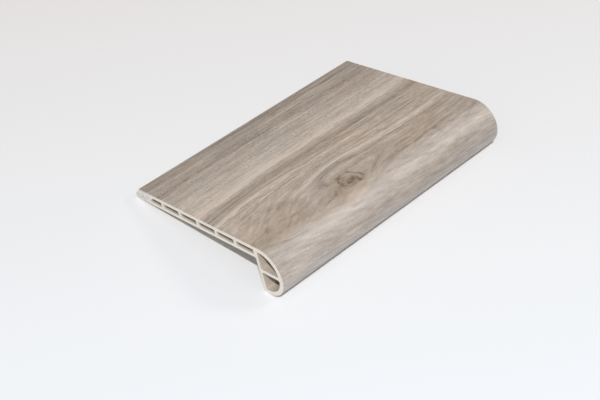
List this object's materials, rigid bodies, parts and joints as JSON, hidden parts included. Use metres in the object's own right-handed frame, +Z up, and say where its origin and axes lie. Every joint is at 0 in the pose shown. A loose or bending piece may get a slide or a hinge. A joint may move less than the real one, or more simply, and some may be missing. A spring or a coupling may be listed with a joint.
{
  "type": "flush stair nose moulding",
  "caption": "Hollow extruded strip with a flat celled deck, half-round nose and bevelled back lip, faced with a wood print; caps a stair tread's front edge level with the floor.",
  "frame": {"origin": "on the floor that the moulding lies on, under the middle of its box", "axes": "+X from the back lip towards the nose, +Y along the extrusion, +Z up from the floor; the deck slopes up towards the nose, as it does when the piece lies on its back lip and heel"},
  "size_m": [0.1146, 0.153, 0.0264],
  "materials": {
    "printed_pvc": "satin"
  },
  "bodies": {
    "root": {"stair_nose_moulding": "printed_pvc"}
  },
  "joints": []
}
